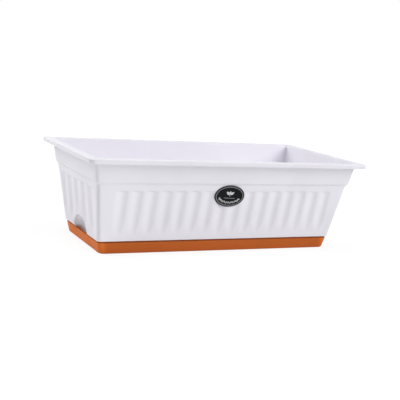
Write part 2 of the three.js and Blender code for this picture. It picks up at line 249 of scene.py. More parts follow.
def closed_prism(name, rings):
    """A closed solid through rings of points, capped at both ends."""
    return cleaned(ring_object(name, rings))


def join_parts(name, parts):
    """One object from several that stand apart from each other."""
    work = bmesh.new()
    for part in parts:
        work.from_mesh(part.data)
    mesh = bpy.data.meshes.new(name)
    work.to_mesh(mesh)
    work.free()
    for part in parts:
        bpy.data.objects.remove(part)
    obj = bpy.data.objects.new(name, mesh)
    bpy.context.scene.collection.objects.link(obj)
    return obj


def smooth(t):
    t = np.clip(t, 0, 1)
    return t * t * (3 - 2 * t)


# ---- Rounded-rectangle walls ----
# A station is one level of a wall: half length, half width, height and corner radius.
def station(half, z, corner):
    return np.array([half[0], half[1], z, corner], float)


def rounded_path(stops, closed=False):
    """Stations along a profile whose corners are rounded. A stop is (station, trim)."""
    path = []
    for i, (here, trim) in enumerate(stops):
        is_end = not closed and i in (0, len(stops) - 1)
        if trim == 0 or is_end:
            path.append(here)
            continue
        before, after = stops[i - 1][0], stops[(i + 1) % len(stops)][0]
        start = here + (before - here) * trim / np.linalg.norm((before - here)[1:3])
        end = here + (after - here) * trim / np.linalg.norm((after - here)[1:3])
        for t in np.linspace(0, 1, ROUND_STEPS + 1):
            path.append((1 - t) ** 2 * start + 2 * t * (1 - t) * here + t * t * end)
    return np.array(path)


def side_places(zone, zone_steps, margin_steps):
    """Where the columns stand along a side: a fixed place, and a share of the margin beyond."""
    share = np.arange(1, margin_steps + 1) / margin_steps
    fixed = np.concatenate(
        [np.full(margin_steps, -zone), np.linspace(-zone, zone, zone_steps + 1), np.full(margin_steps, zone)]
    )
    beyond = np.concatenate([-share[::-1], np.zeros(zone_steps + 1), share])
    return zone, fixed, beyond


def wall_rings(path, long_places, short_places, long_depth=None, short_depth=None):
    """Points of each station's ring, counter-clockwise from the front left corner."""
    half_x, half_y, height, corner = (path[:, i, None] for i in range(4))
    rings = []
    arc = np.linspace(0, math.pi / 2, CORNER_STEPS + 1)[1:-1]
    for side in range(4):
        lengthwise = side % 2 == 0
        zone, fixed, beyond = long_places if lengthwise else short_places
        reach, face = (half_x, half_y) if lengthwise else (half_y, half_x)
        along = fixed + beyond * (reach - corner - zone)
        depth_at = long_depth if lengthwise else short_depth
        inward = np.zeros_like(along) if depth_at is None else depth_at(along, height + 0 * along)
        out = face - inward
        turn = side * math.pi / 2
        # Before its turn, each side is the front one: it runs along +X at -Y.
        x = np.concatenate([along, (reach - corner) + corner * np.sin(arc)], axis=1)
        y = np.concatenate([-out, -(face - corner) - corner * np.cos(arc)], axis=1)
        z = height + 0 * x
        turned_x = x * math.cos(turn) - y * math.sin(turn)
        turned_y = x * math.sin(turn) + y * math.cos(turn)
        rings.append(np.stack([turned_x, turned_y, z], -1))
    return np.concatenate(rings, axis=1)


# ---- Planter box ----
def wall_half(z):
    """Half length and half width of the fluted wall's outer face."""
    top = RIM_HALF - RIM_OVERHANG - BAND_PROUD
    return top - WALL_LEAN * (1 - (z - FOOT) / (HEIGHT - FOOT))


def outer_wall(z, proud=0.0):
    return station(wall_half(z) + proud, z, WALL_CORNER)


def inner_wall(z, proud=0.0):
    return station(wall_half(z) - WALL + proud, z, INNER_CORNER)


def flute_depth(along, z, count, pitch, bottom_of):
    """How deep the flutes lie behind the plain wall, at places along it and heights."""
    index = np.clip(np.round(along / pitch + (count - 1) / 2), 0, count - 1)
    centre = (index - (count - 1) / 2) * pitch
    strength = np.sin(np.clip((z - bottom_of(centre)) / FLUTE_FADE, 0, 1) * math.pi / 2)
    half = (pitch - FLUTE_LAND) / 2 * (1 - FLUTE_NARROWING * (1 - strength))
    offset = (along - centre) / half
    across = (1 - np.sqrt(np.maximum(0, 1 - 4 * FLUTE_SKEW * (offset - FLUTE_SKEW)))) / (2 * FLUTE_SKEW)
    wave = np.where(np.abs(across) < 1, (1 + np.cos(math.pi * across)) / 2, 0)
    shoulder = smooth((FLUTE_TOP - z) / FLUTE_SHOULDER)
    return FLUTE_DEPTH * strength * wave * shoulder


def side_depth(along, z):
    pitch = 2 * (wall_half(FLUTE_BOTTOM)[0] - SIDE_FLUTES["margin"]) / SIDE_FLUTES["count"]
    return flute_depth(along, z, SIDE_FLUTES["count"], pitch, lambda centre: FLUTE_BOTTOM)


def end_depth(along, z):
    pitch = 2 * (wall_half(FLUTE_BOTTOM)[1] - END_FLUTES["margin"]) / END_FLUTES["count"]
    above_port = PORT_TOP + PORT_FLUTE_GAP
    bottom_of = lambda centre: np.where(np.abs(centre) < pitch / 2, above_port, FLUTE_BOTTOM)
    return flute_depth(-along, z, END_FLUTES["count"], pitch, bottom_of)


def fluted_heights():
    """The rows of the fluted wall: close together where a flute's lower end or its top turns."""
    fade_top = FLUTE_BOTTOM + FLUTE_FADE
    shoulder = FLUTE_TOP - FLUTE_SHOULDER
    return np.concatenate([
        np.linspace(FOOT + 1.5, FLUTE_BOTTOM, 4),
        np.linspace(FLUTE_BOTTOM, fade_top, 16)[1:],
        np.linspace(fade_top, shoulder - 0.6, 15)[1:],
        np.linspace(shoulder, FLUTE_TOP, 7),
        [FLUTE_TOP + 0.8],
    ])


def planter_profile():
    """The planter's wall in section, up the outside, over the rim and down the inside.

    Each stop's second value says how far the rounding of its edge reaches.
    """
    below = BAND_BOTTOM - BAND_STEP / 2 - STEP_SOFTENING[0]
    above = BAND_BOTTOM + BAND_STEP / 2 + STEP_SOFTENING[1]
    step = BAND_BOTTOM + WALL
    mouth = inner_wall(HEIGHT, BAND_PROUD)
    ledge_bottom = LEDGE_TOP - LEDGE_THICKNESS
    stops = [(outer_wall(FOOT), 1.0)]
    stops += [(outer_wall(z), 0) for z in fluted_heights()]
    stops += [
        (outer_wall(below), 0.8),
        (outer_wall(above, BAND_PROUD), 1.8),
        (outer_wall(RIM_BOTTOM, BAND_PROUD), 1.6),
        (station(RIM_HALF - RIM_DRAFT, RIM_BOTTOM, RIM_CORNER - RIM_DRAFT), 1.3),
        (station(RIM_HALF, HEIGHT, RIM_CORNER), 1.1),
        (mouth, MOUTH_EDGE),
        (inner_wall(step + BAND_STEP, BAND_PROUD), 1.2),
        (inner_wall(step), 1.2),
        (inner_wall(LEDGE_TOP), 1.0),
        (inner_wall(LEDGE_TOP, -LEDGE_WIDTH), 0.8),
        (inner_wall(ledge_bottom, -LEDGE_WIDTH), 0.8),
        (inner_wall(ledge_bottom), 1.0),
        (inner_wall(FOOT), 0.5),
    ]
    return stops


def planter_shell():
    path = rounded_path(planter_profile(), closed=True)
    # The outer wall's stations are the ones that lie on its own leaning plane.
    plane = np.array([wall_half(z)[0] for z in path[:, 2]])
    is_outer_wall = np.abs(path[:, 0] - plane) < SAME_PLACE
    side_zone = wall_half(FLUTE_BOTTOM)[0] - SIDE_FLUTES["margin"]
    end_zone = wall_half(FOOT)[1] - WALL_CORNER - LEDGE_WIDTH
    side_columns = SIDE_FLUTES["count"] * COLUMNS_PER_FLUTE
    long_places = side_places(side_zone, side_columns, SIDE_MARGIN_COLUMNS)
    short_places = side_places(end_zone, END_COLUMNS, END_MARGIN_COLUMNS)

    def only_outside(depth_at):
        return lambda along, z: depth_at(along, z) * is_outer_wall[:, None]

    rings = wall_rings(path, long_places, short_places, only_outside(side_depth), only_outside(end_depth))
    return ring_object("planter_shell", rings, closed=True)


def arch(grown, bottom, share=1.0):
    """The port's outline, seen along X, as (across, up): a share of its size, then grown."""
    angles = np.linspace(math.pi, 0, PORT_STEPS + 1)
    half = PORT_HALF_WIDTH * share + grown
    across = half * np.cos(angles)
    up = PORT_SPRING + ((PORT_TOP - PORT_SPRING) * share + grown) * np.sin(angles)
    ends = np.array([[-half, bottom], [half, bottom]])
    return np.concatenate([ends[:1], np.stack([across, up], -1), ends[1:]])


def on_end_wall(outline, depth):
    """An outline's points at a depth behind the left end's leaning face."""
    face = np.array([wall_half(z)[0] for z in outline[:, 1]])
    return np.stack([depth - face, outline[:, 0], outline[:, 1]], -1)


def both_ends(name, rings):
    """The same solid at the left end and, turned half round, at the right end."""
    left = closed_prism(name + "_left", rings)
    right = closed_prism(name + "_right", [ring * [-1, -1, 1] for ring in rings])
    return [left, right]


def scoop_rings(grown, bottom):
    """The port's hollow behind the wall: it rounds off to a small flat back."""
    rings = []
    for angle in np.linspace(0, PORT_BACK_ANGLE, SCOOP_STEPS + 1)[1:]:
        share = math.cos(angle) ** (2 / PORT_FULLNESS)
        depth = PORT_DEPTH * math.sin(angle) ** (2 / PORT_FULLNESS)
        rings.append(on_end_wall(arch(grown, bottom, share), depth + grown * math.sin(angle)))
    return rings


def hood_solids():
    """The hood over the port's hollow, and the skirt that carries it on down into the tray."""
    front = on_end_wall(arch(PORT_WALL, FOOT - OVERLAP), WALL / 2)
    hood = [front] + scoop_rings(PORT_WALL, FOOT - OVERLAP)
    low, high = SKIRT_BOTTOM, FOOT + SKIRT_LAP
    tray_inner = tray_half(SKIRT_BOTTOM)[0] - TRAY_WALL
    skirt = []
    for ring in [on_end_wall(arch(PORT_WALL, low), 0)] + scoop_rings(PORT_WALL, low):
        flat = np.minimum(ring, [np.inf, np.inf, high])
        flat[:, 0] = np.maximum(flat[:, 0], FIN_GAP - tray_inner)
        skirt.append(flat)
    return both_ends("hood", hood), both_ends("skirt", skirt)


def port_cutters():
    bottom = SKIRT_BOTTOM - OVERLAP
    rings = [on_end_wall(arch(PORT_LIP, bottom), -PORT_START)]
    for angle in np.linspace(0, math.pi / 2, ROUND_STEPS + 1):
        grown = PORT_LIP * (1 - math.sin(angle))
        rings.append(on_end_wall(arch(grown, bottom), PORT_LIP * (1 - math.cos(angle))))
    return both_ends("port", rings + scoop_rings(0, bottom)[1:])


# ---- Fins, which keep the planter in place on its tray ----
FIN_THICKNESS = 3.0
FIN_WIDTH = 5.0
FIN_GAP = 1.0  # to the inner wall of the tray
FIN_EDGE = 0.4
FIN_END_SHRINK = 0.02  # share by which its flat faces are smaller than its middle
FIN_FROM_PORT = 19.0
FIN_ROOT = 1.0  # how far it runs into the wall and the ledge


def fin_outline(axis):
    """One fin, as (distance from the middle, up): below the foot it stands inside the tray."""
    tray = lambda z: tray_half(z)[axis] - TRAY_WALL - FIN_GAP
    wall = lambda z: wall_half(z)[axis] - WALL
    ledge = LEDGE_TOP - LEDGE_THICKNESS
    low = tray(FIN_BOTTOM)
    return np.array([
        [low - FIN_WIDTH, FIN_BOTTOM],
        [low - FIN_EDGE, FIN_BOTTOM],
        [tray(FOOT - SEAT_GAP), FOOT - 0.1],
        [wall(FOOT) + FIN_ROOT, FOOT + 0.8],
        [wall(ledge) + FIN_ROOT, ledge + FIN_ROOT],
        [wall(ledge) - LEDGE_WIDTH + 0.5, ledge + FIN_ROOT],
    ])


def fin_solid(axis, place, turn):
    """A fin on the wall that faces along an axis, at a place along that wall."""
    outline = fin_outline(axis)
    middle = outline.mean(axis=0)
    rings = []
    for side, is_face in ((-1, True), (-1, False), (1, False), (1, True)):
        inset = outline + (middle - outline) * (FIN_END_SHRINK * is_face)
        across = place + side * (FIN_THICKNESS / 2 - (0 if is_face else FIN_EDGE))
        wide = np.full(len(outline), across)
        x, y = (wide, -inset[:, 0]) if axis == 1 else (-inset[:, 0], wide)
        rings.append(np.stack([x * turn, y * turn, inset[:, 1]], -1))
    return closed_prism("fin", rings)


def fin_solids():
    on_side, on_end = wall_half(FOOT)[0] / 2, PORT_HALF_WIDTH + FIN_FROM_PORT
    places = [(1, -on_side), (1, on_side), (0, -on_end), (0, on_end)]
    return [fin_solid(axis, place, turn) for axis, place in places for turn in (1, -1)]


def mark_inside(obj):
    """Gives the faces behind the wall, from the mouth down, the second material slot, which holds a lighter
    copy of the white as painted light.
    """
    for face in obj.data.polygons:
        x, y, z = np.array(face.center) / MM
        half = wall_half(z) - WALL + INSIDE_MARGIN + BAND_PROUD * (z > BAND_BOTTOM + WALL)
        face.material_index = int(abs(x) < half[0] and abs(y) < half[1] and z < HEIGHT - INSIDE_MARGIN)


def planter_box(outside, inside):
    obj = planter_shell()
    hoods, skirts = hood_solids()
    for part in hoods + skirts + fin_solids():
        obj = combine(obj, part, "UNION")
    for cutter in port_cutters():
        obj = combine(obj, cutter, "DIFFERENCE")
    obj = largest_piece(obj)
    # The inside's material is a lighter, bluer copy of the white: painted light.
    finish_surface(obj, outside, inside)
    mark_inside(obj)
    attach(obj, "planter")
    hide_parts("planter_box")


# ---- Water tray ----
def tray_half(z):
    top = TRAY_HIGH[:2]
    return top - TRAY_LEAN * (1 - z / TRAY_HIGH[2])


def water_tray(material):
    """Its flat underside and floor are capped over, so their stations only lead up to them."""
    wall = lambda z, inset: station(tray_half(z) - inset, z, WALL_CORNER - inset)
    flat = lambda z, inset: station(tray_half(0) - inset, z, TRAY_CAP_CORNER)
    top = TRAY_HIGH[2]
    groove, depth = TRAY_GROOVE
    stops = [
        (flat(0, TRAY_CAP_INSETS[0]), 0),
        (station(tray_half(0), 0, TRAY_FOOT_CORNER), 2.6),
        (wall(top - groove, 0), 0.5),
        (wall(top - groove + 0.4, depth), 0.3),
        (wall(top, depth), 0.3),
        (wall(top, TRAY_WALL), 0.3),
        (wall(TRAY_FLOOR, TRAY_WALL), 1.6),
        (flat(TRAY_FLOOR, TRAY_CAP_INSETS[1]), 0),
    ]
    long_places = side_places(*TRAY_LONG_COLUMNS)
    short_places = side_places(*TRAY_SHORT_COLUMNS)
    obj = ring_object("tray", wall_rings(rounded_path(stops), long_places, short_places))
    finish_surface(obj, material)
    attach(obj, "tray")
    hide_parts("water_tray")


# ---- Drain plates ----
PLATE_EDGE = 0.5
PLATE_CORNER = 4.0
SLOT_LENGTH = 24.0
SLOT_WIDTH = 4.0
SLOT_PITCH = (32.0, 14.0)
SLOT_MARGIN = 5.0
LEG_SIZE = 14.0
LEG_THICKNESS = 3.0
LEG_END_INSET = 20.0
LEG_SIDE_INSET = 25.0
LEG_FOOT = 0.5  # height of the bevel at its foot
LEG_SHRINK = (0.5, 0.15, 0.0)  # how far its arms are shorter at the foot, above the bevel and at the top
CUP_HOLE_GAP = 0.6
CUP_HOLE_SEGMENTS = 64
ROUND_END_FLAT = 0.01  # keeps the points of a slot's two round ends apart


def rounded_outline(half_x, half_y, radius, steps):
    """A rounded rectangle, or a slot where the radius is its half width, counter-clockwise."""
    points = []
    for quarter, (sx, sy) in enumerate([(1, 1), (-1, 1), (-1, -1), (1, -1)]):
        for angle in np.linspace(quarter, quarter + 1, steps + 1) * math.pi / 2:
            x = sx * (half_x - radius) + radius * math.cos(angle)
            y = sy * (half_y - radius) + radius * math.sin(angle)
            if not points or math.dist(points[-1], (x, y)) > SAME_PLACE:
                points.append((x, y))
    return points[:-1] if math.dist(points[0], points[-1]) < SAME_PLACE else points


def perforated_sheet(name, outline, holes, bottom, top, edge):
    """A flat sheet with holes through it and rounded edges all round."""
    curve = bpy.data.curves.new(name, "CURVE")
    curve.dimensions = "2D"
    curve.fill_mode = "BOTH"
    curve.extrude = (top - bottom) / 2 - edge
    curve.bevel_depth = edge
    curve.bevel_resolution = 2
    curve.offset = -edge
    for points in [outline] + [hole[::-1] for hole in holes]:
        spline = curve.splines.new("POLY")
        spline.points.add(len(points) - 1)
        spline.points.foreach_set("co", [c for x, y in points for c in (x, y, 0, 1)])
        spline.use_cyclic_u = True
    source = bpy.data.objects.new(name, curve)
    bpy.context.scene.collection.objects.link(source)
    graph = bpy.context.evaluated_depsgraph_get()
    mesh = bpy.data.meshes.new_from_object(source.evaluated_get(graph))
    bpy.data.objects.remove(source)
    obj = bpy.data.objects.new(name, mesh)
    bpy.context.scene.collection.objects.link(obj)
    mesh.transform(Matrix.Diagonal((MM, MM, MM, 1)) @ Matrix.Translation((0, 0, (bottom + top) / 2)))
    return cleaned(obj)


def slot_distance(slot, point):
    """How far a point lies from the edge of a slot."""
    reach = (SLOT_LENGTH - SLOT_WIDTH) / 2
    nearest = np.clip(point[0], slot[0] - reach, slot[0] + reach)
    return math.hypot(point[0] - nearest, point[1] - slot[1]) - SLOT_WIDTH / 2


def spread(count, pitch):
    """Places at a fixed pitch, evenly to both sides of 0."""
    return (np.arange(count) - (count - 1) / 2) * pitch


def slot_places(half, cups, legs, cup_reach):
    """A grid of slots, less the ones that would meet a cup's flange or a leg."""
    counts = [int(2 * (reach - SLOT_MARGIN) // pitch) for reach, pitch in zip(half, SLOT_PITCH)]
    columns, rows = (spread(count, pitch) for count, pitch in zip(counts, SLOT_PITCH))
    places = [(x, y) for y in rows for x in columns]
    off_cups = lambda slot: all(slot_distance(slot, cup) > cup_reach for cup in cups)
    off_legs = lambda slot: all(slot_distance(slot, leg) > LEG_SIZE / 2 for leg in legs)
    return [slot for slot in places if off_cups(slot) and off_legs(slot)]


def leg_solid(place, top):
    """A cross-shaped leg that narrows a little towards its foot."""
    bottom = TRAY_FLOOR + SEAT_GAP
    rings = []
    for z, shrink in zip((bottom, bottom + LEG_FOOT, top), LEG_SHRINK):
        long, thin = LEG_SIZE / 2 - shrink, LEG_THICKNESS / 2 - shrink / 2
        quarter = [(long, -thin), (long, thin), (thin, thin)]
        ring = []
        for turn in range(4):
            c, s = round(math.cos(turn * math.pi / 2)), round(math.sin(turn * math.pi / 2))
            ring += [(place[0] + x * c - y * s, place[1] + x * s + y * c, z) for x, y in quarter]
        rings.append(ring)
    return closed_prism("leg", rings)


def plate_holes(half, cup_spots, legs, cup_reach):
    """The cups' round holes, and the slots."""
    radius = cup_reach - CUP_LIP + CUP_HOLE_GAP
    angles = circle(CUP_HOLE_SEGMENTS)
    holes = [[(x + radius * math.cos(a), y + radius * math.sin(a)) for a in angles] for x, y in cup_spots]
    slot_shape = rounded_outline(SLOT_LENGTH / 2, SLOT_WIDTH / 2, SLOT_WIDTH / 2 - ROUND_END_FLAT, 6)
    for x, y in slot_places(half, cup_spots, legs, cup_reach):
        holes.append([(x + dx, y + dy) for dx, dy in slot_shape])
    return holes


def drain_plate(node, body, cups, material):
    low, high = node_box(node)
    centre = (low + high) / 2
    half = (high - low)[:2] / 2
    top, bottom = high[2], high[2] - PLATE_THICKNESS
    cup_spots = []
    for cup in cups:
        cup_low, cup_high = node_box(cup)
        cup_spots.append(((cup_low + cup_high) / 2 - centre)[:2])
    cup_reach = (cup_high - cup_low)[0] / 2
    leg_x, leg_y = half[0] - LEG_END_INSET, half[1] - LEG_SIDE_INSET
    legs = [(sx * leg_x, sy * leg_y) for sx in (-1, 1) for sy in (-1, 1)]
    outline = rounded_outline(half[0], half[1], PLATE_CORNER, 6)
    holes = plate_holes(half, cup_spots, legs, cup_reach)
    obj = perforated_sheet("plate_" + node[-1], outline, holes, bottom, top, PLATE_EDGE)
    for leg in legs:
        obj = combine(obj, leg_solid(leg, bottom + OVERLAP), "UNION")
    obj.data.transform(Matrix.Translation((centre[0] * MM, centre[1] * MM, 0)))
    finish_surface(obj, material)
    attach(obj, body)
    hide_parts(node)


# ---- Wick cups ----
CUP_LIP = 4.0
CUP_LIP_THICKNESS = 2.0
CUP_TAPER = 5.0
CUP_WALL = 2.0
CUP_FLOOR = 2.0
CUP_SLOTS = {"count": 8, "width": 3.2, "lift": 5.0, "drop": 13.0}
CUP_DRAIN = 4.0
CUP_SEGMENTS = 72
DRAIN_SEGMENTS = 32
SLOT_START = 5.0  # the slots' cutters start this far outside the drain hole


def circle(count):
    return np.arange(count) * 2 * math.pi / count


def turned(name, profile, segments):
    """A lathed solid; its profile is (radius, height) and starts and ends on the axis."""
    points, faces = [], []
    for radius, z in profile[1:-1]:
        points += [(radius * math.cos(a), radius * math.sin(a), z) for a in circle(segments)]
    first, last = len(points), len(points) + 1
    points += [(0, 0, profile[0][1]), (0, 0, profile[-1][1])]
    rings = len(profile) - 2
    for i in range(segments):
        k = (i + 1) % segments
        faces.append((first, k, i))
        end = (rings - 1) * segments
        faces.append((last, end + i, end + k))
        for j in range(rings - 1):
            a, b = j * segments, (j + 1) * segments
            faces.append((a + i, a + k, b + k, b + i))
    return make_object(name, points, faces)


def cup_profile(low, high, reach):
    """A cup in section, from the middle of its underside round to the middle of its floor."""
    radius = reach - CUP_LIP
    seat = high - CUP_LIP_THICKNESS
    foot = radius - CUP_TAPER
    floor_top = low + CUP_FLOOR
    stops = [
        ((0, low), 0),
        ((foot, low), 1.4),
        ((radius, seat), 0.5),
        ((reach, seat), 0.7),
        ((reach, high), 0.8),
        ((radius - CUP_WALL, high), 1.0),
        ((foot - CUP_WALL, floor_top), 1.2),
        ((0, floor_top), 0),
    ]
    stations = [(station((r, r), z, 0), trim) for (r, z), trim in stops]
    return [(p[0], p[2]) for p in rounded_path(stations)]


def slot_cutter(angle, low, high, inner, outer):
    """A radial bar with round ends, standing upright."""
    half = CUP_SLOTS["width"] / 2
    outline = rounded_outline(half, (high - low) / 2, half - ROUND_END_FLAT, 5)
    middle = (low + high) / 2
    out = np.array([math.cos(angle), math.sin(angle)])
    side = np.array([-out[1], out[0]])
    rings = []
    for radius in (inner, outer):
        rings.append([(*(out * radius + side * across), middle + up) for across, up in outline])
    return closed_prism("slot", rings)


def wick_cup(node, body, material):
    node_low, node_high = node_box(node)
    centre = (node_low + node_high) / 2
    reach = (node_high - node_low)[0] / 2
    low, high = node_low[2], node_high[2]
    obj = turned("cup_" + node[-1], cup_profile(low, high, reach), CUP_SEGMENTS)
    slot_low = low + CUP_SLOTS["lift"]
    slot_high = high - CUP_LIP_THICKNESS - CUP_SLOTS["drop"]
    count = CUP_SLOTS["count"]
    angles = circle(count) + math.pi / count
    bars = [slot_cutter(angle, slot_low, slot_high, CUP_DRAIN + SLOT_START, reach) for angle in angles]
    under, over = low - CUP_FLOOR, low + 2 * CUP_FLOOR
    drain_profile = [(0, under), (CUP_DRAIN, under), (CUP_DRAIN, over), (0, over)]
    drain = turned("drain", drain_profile, DRAIN_SEGMENTS)
    obj = combine(obj, join_parts("slots", bars + [drain]), "DIFFERENCE")
    obj.data.transform(Matrix.Translation((centre[0] * MM, centre[1] * MM, 0)))
    finish_surface(obj, material)
    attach(obj, body)
    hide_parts(node)


# ---- Label ----
LABEL_HALF = np.array([27.5, 18.75])
LABEL_THICKNESS = 0.8
LABEL_TILT = math.radians(-2.9)
LIP_WIDTH = 2.4  # a rounded lip runs round the label
LIP_RISE = 0.25  # and stands proud of its field by this
LIP_ROOT = 1.0  # the field runs in under it by this
LIP_FOOT = 0.1  # height and width of the step at its foot
LIP_STEPS = 12
LABEL_PRINT = 0.06  # the ink stands proud by this
INK_ROOT = 0.02  # and reaches this far into the plate
RING_INSET = 2.6
RING_WIDTH = 0.9
LABEL_LINE = (10.0, -3.8, -2.9)  # half length, lower edge and upper edge of the line below the emblem
LABEL_SEGMENTS = 96


def label_place():
    """The matrix from the label's own plane, its back at height 0, to its place on the front."""
    low, high = node_box("label")
    slope = math.atan2(WALL_LEAN[1], HEIGHT - FOOT)
    middle = (low[2] + high[2]) / 2 + LABEL_THICKNESS / 2 * math.sin(slope)
    face = wall_half(middle)[1]
    return (
        Matrix.Translation((0, -face, middle))
        @ Matrix.Rotation(math.pi / 2 + slope, 4, "X")
        @ Matrix.Translation((0, 0, SEAT_GAP))
        @ Matrix.Rotation(LABEL_TILT, 4, "Z")
    )


def place_on_label(obj):
    matrix = label_place()
    to_metres = Matrix.Diagonal((MM, MM, MM, 1))
    to_mm = Matrix.Diagonal((1 / MM, 1 / MM, 1 / MM, 1))
    obj.data.transform(to_metres @ matrix @ to_mm)
    return obj


def ellipse(grown, z):
    """The label's outline, grown, at a height."""
    reach = LABEL_HALF + grown
    return [(reach[0] * math.cos(a), reach[1] * math.sin(a), z) for a in circle(LABEL_SEGMENTS)]


def label_plate():
    """The flat field, inside the lip."""
    edge = LIP_ROOT - LIP_WIDTH
    return closed_prism("label_plate", [ellipse(edge, 0), ellipse(edge, LABEL_THICKNESS)])


def oval_ring(name, section):
    """A closed ring along the label's edge, through a section of (grown, height) points."""
    return cleaned(ring_object(name, [ellipse(grown, z) for grown, z in section], closed=True))


def label_lip():
    """The label's rounded edge."""
    crown = LABEL_THICKNESS + LIP_RISE
    section = [(-LIP_WIDTH, 0), (-LIP_FOOT, 0)]
    for angle in np.linspace(0, math.pi, LIP_STEPS + 1):
        across = -LIP_WIDTH / 2 * (1 - math.cos(angle))
        foot = LIP_FOOT if angle < math.pi / 2 else LABEL_THICKNESS - INK_ROOT
        section.append((across, foot + (crown - foot) * math.sin(angle)))
    return oval_ring("label_lip", section)


def label_ring():
    """A thin printed line that runs round inside the lip."""
    low, high = LABEL_THICKNESS - INK_ROOT, LABEL_THICKNESS + LABEL_PRINT
    outer, inner = -RING_INSET, -RING_INSET - RING_WIDTH
    return oval_ring("label_ring", [(outer, low), (outer, high), (inner, high), (inner, low)])


def leaf_outline(root, direction, length, width, steps=10):
    """A pointed leaf from its root, along a direction in radians."""
    t = np.linspace(0, 1, steps + 1)
    half = width / 2 * np.sin(math.pi * t ** 0.8)
    along = np.array([math.cos(direction), math.sin(direction)])
    side = np.array([-along[1], along[0]])
    middle = np.array(root) + along * length * t[:, None]
    reach = side * half[:, None]
    return [*(middle - reach), *(middle + reach)[-2:0:-1]]


def printed(outline):
    low, high = LABEL_THICKNESS - INK_ROOT, LABEL_THICKNESS + LABEL_PRINT
    return closed_prism("ink", [[(x, y, z) for x, y in outline] for z in (low, high)])


SEEDLING_FOOT = -0.2
STALK = (0.5, 0.35, 3.4)  # half width at its foot and at its top, and height
SIDE_LEAF = (8.0, 4.6)
SIDE_LEAF_ROOT = (0.7, 2.8)
SIDE_LEAF_LEAN = math.radians(52)
TOP_LEAF = (5.2, 3.2)
TOP_LEAF_ROOT = (0.0, 4.0)


def seedling():
    """A stalk with three leaves."""
    at_foot, at_top, height = STALK
    low, high = SEEDLING_FOOT, SEEDLING_FOOT + height
    parts = [printed([(-at_foot, low), (at_foot, low), (at_top, high), (-at_top, high)])]
    for side in (-1, 1):
        root = side * SIDE_LEAF_ROOT[0], low + SIDE_LEAF_ROOT[1]
        parts.append(printed(leaf_outline(root, math.pi / 2 - side * SIDE_LEAF_LEAN, *SIDE_LEAF)))
    top_root = TOP_LEAF_ROOT[0], low + TOP_LEAF_ROOT[1]
    parts.append(printed(leaf_outline(top_root, math.pi / 2, *TOP_LEAF)))
    return parts


GARLAND_HALF = np.array([19.6, 11.0])
GARLAND_LEAF = (4.6, 2.6)
GARLAND_LEAVES = 13
GARLAND_REACH = math.radians(66)  # to either side of its lowest point
GARLAND_LEAN = math.radians(62)


def garland():
    """Small leaves along an arc, which lean to either side in turn."""
    length, width = GARLAND_LEAF
    parts = []
    for i, angle in enumerate(np.linspace(-GARLAND_REACH, GARLAND_REACH, GARLAND_LEAVES)):
        middle = GARLAND_HALF * (math.sin(angle), -math.cos(angle))
        along = math.atan2(GARLAND_HALF[1] * math.sin(angle), GARLAND_HALF[0] * math.cos(angle))
        direction = along + GARLAND_LEAN * (1 if i % 2 else -1)
        back = np.array([math.cos(direction), math.sin(direction)]) * length / 2
        parts.append(printed(leaf_outline(middle - back, direction, length, width)))
    return parts


def label(black, glossy, ring_ink, leaf_ink, print_ink):
    plate, lip, ring = label_plate(), label_lip(), label_ring()
    reach, low, high = LABEL_LINE
    line = printed([(-reach, low), (reach, low), (reach, high), (-reach, high)])
    line.name = "label_line"
    leaves = join_parts("label_leaves", garland())
    emblem = join_parts("label_emblem", seedling())
    inked = ((ring, ring_ink), (line, ring_ink), (leaves, leaf_ink), (emblem, print_ink))
    for obj, material in ((plate, black), (lip, glossy), *inked):
        place_on_label(obj)
        finish_surface(obj, material)
        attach(obj, "planter")
    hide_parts("label")


# ---- Materials ----
class Nodes:
    """A small helper to write a node material as nested calls."""

    def __init__(self, name):
        self.material = bpy.data.materials.new(name)
        self.material.use_nodes = True
        self.tree = self.material.node_tree
        self.shader = self.tree.nodes["Principled BSDF"]
        self.place = self.node("ShaderNodeTexCoord").outputs["Object"]

    def node(self, kind, **settings):
        made = self.tree.nodes.new(kind)
        for name, value in settings.items():
            setattr(made, name, value)
        return made

    def link(self, source, target):
        self.tree.links.new(source, target)

    def put(self, target, value):
        if isinstance(value, bpy.types.NodeSocket):
            self.link(value, target)
        else:
            target.default_value = value

    def scaled(self, scale):
        mapping = self.node("ShaderNodeMapping")
        self.link(self.place, mapping.inputs["Vector"])
        mapping.inputs["Scale"].default_value = scale
        return mapping.outputs["Vector"]

    def noise(self, scale, detail=2.0, stretch=(1, 1, 1)):
        made = self.node("ShaderNodeTexNoise")
        self.link(self.scaled(stretch), made.inputs["Vector"])
        made.inputs["Scale"].default_value = scale
        made.inputs["Detail"].default_value = detail
        return made.outputs["Fac"]

    def between(self, value, low, high, to_low=0.0, to_high=1.0):
        made = self.node("ShaderNodeMapRange")
        self.put(made.inputs["Value"], value)
        for name, number in zip(("From Min", "From Max", "To Min", "To Max"), (low, high, to_low, to_high)):
            made.inputs[name].default_value = number
        return made.outputs["Result"]

    def mix(self, factor, first, second):
        made = self.node("ShaderNodeMix", data_type="RGBA")
        self.put(made.inputs["Factor"], factor)
        self.put(made.inputs["A"], first)
        self.put(made.inputs["B"], second)
        return made.outputs["Result"]

    def math(self, operation, first, second):
        made = self.node("ShaderNodeMath", operation=operation)
        self.put(made.inputs[0], first)
        self.put(made.inputs[1], second)
        return made.outputs[0]

    def bump(self, height, distance, strength, normal=None):
        made = self.node("ShaderNodeBump")
        self.link(height, made.inputs["Height"])
        made.inputs["Distance"].default_value = distance
        made.inputs["Strength"].default_value = strength
        if normal is not None:
            self.link(normal, made.inputs["Normal"])
        return made.outputs["Normal"]


def rgb(r, g, b):
    return (r, g, b, 1.0)


def dimmed(colour, share):
    return rgb(*(c * share for c in colour[:3]))


PLASTIC_IOR = 1.49
PAINTED_SHADE_FADE = 0.5  # mm over which the painted shadow line sets in
